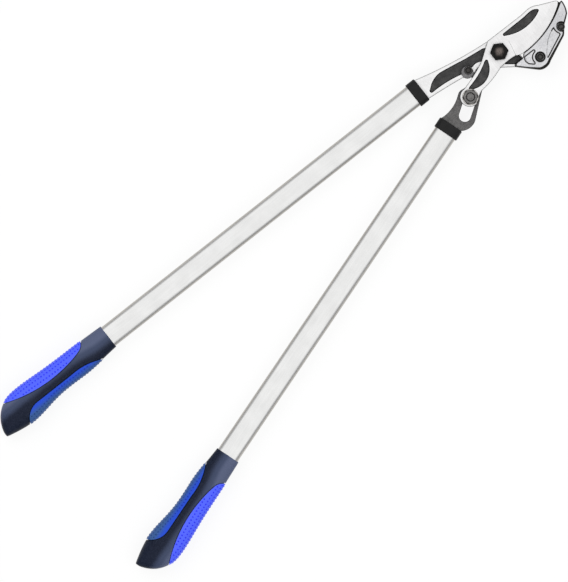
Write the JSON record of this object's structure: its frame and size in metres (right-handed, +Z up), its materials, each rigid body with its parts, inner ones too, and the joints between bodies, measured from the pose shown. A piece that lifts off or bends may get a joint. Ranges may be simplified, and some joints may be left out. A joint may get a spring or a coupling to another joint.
{
  "type": "anvil lopper",
  "caption": "Long-handled anvil lopper: a pivoting blade closes on a bolted anvil, driven through a slotted lever plate by one of two flat-oval tube handles with dotted soft grips.",
  "frame": {"origin": "on the main pivot's axis, at the free end of the pivot bolt, on the plane that the tool lies on", "axes": "+X along the jaw handle towards the jaws, +Y away from the lever handle, +Z up from the plane that the tool lies on, towards the pivot bolt's head"},
  "size_m": [0.9101, 0.3022, 0.0327],
  "materials": {
    "forged_steel": "satin, with dark textured pockets",
    "blade_steel": "fine ground satin, with dark textured pockets",
    "anvil_alloy": "cast, satin face with dark rounded edge",
    "lever_steel": "dark scratched steel",
    "black_steel": "black oxide",
    "zinc_steel": "dull zinc",
    "stop_steel": "turned, grey",
    "bronze": "oiled",
    "tube_alloy": "satin anodised",
    "collar_plastic": "moulded, slight sheen",
    "plug_plastic": "moulded",
    "grip_plastic": "moulded, soft sheen",
    "pad_rubber": "soft, dotted"
  },
  "bodies": {
    "jaw": {"jaw_arm": "forged_steel", "anvil": "anvil_alloy", "anvil_screws": "black_steel", "pivot_bolt": "black_steel", "pivot_bush": "bronze", "pivot_washer": "zinc_steel", "pivot_nut": "zinc_steel", "thrust_washer": "bronze", "lever_pin_bolt": "zinc_steel", "lever_pin_washer": "zinc_steel", "lever_pin_nut": "zinc_steel", "jaw_tube": "tube_alloy", "jaw_collar": "collar_plastic", "jaw_tang_plug": "plug_plastic", "jaw_rivet": "zinc_steel", "jaw_grip": "grip_plastic", "jaw_outer_pad": "pad_rubber", "jaw_inner_pad": "pad_rubber"},
    "lever": {"lever_plate": "lever_steel", "lever_tube": "tube_alloy", "lever_collar": "collar_plastic", "lever_tang_plug": "plug_plastic", "lever_rivet": "zinc_steel", "lever_grip": "grip_plastic", "lever_outer_pad": "pad_rubber", "lever_inner_pad": "pad_rubber"},
    "blade": {"blade": "blade_steel", "link_bolt": "zinc_steel", "link_washer": "zinc_steel", "link_nut": "zinc_steel"},
    "stop": {"stop_cam": "stop_steel", "stop_screw": "black_steel"}
  },
  "joints": [
    {"name": "lever_open", "type": "hinge", "parent": "jaw", "child": "lever", "pos_m": [-0.035, -0.008, 0.016], "axis": [0, 0, 1], "range_deg": [0, 62]},
    {"name": "blade_open", "type": "hinge", "parent": "jaw", "child": "blade", "pos_m": [0, 0, 0.021], "axis": [0, 0, 1], "range_deg": [0, 40.1]},
    {"name": "stop_turn", "type": "hinge", "parent": "jaw", "child": "stop", "pos_m": [-0.0461, 0.0059, 0.0215], "axis": [0, 0, 1], "range_deg": [-95, 0]}
  ],
  "couplings": [
    {"joint": "blade_open", "follows": "lever_open", "ratio": 0.64516}
  ]
}
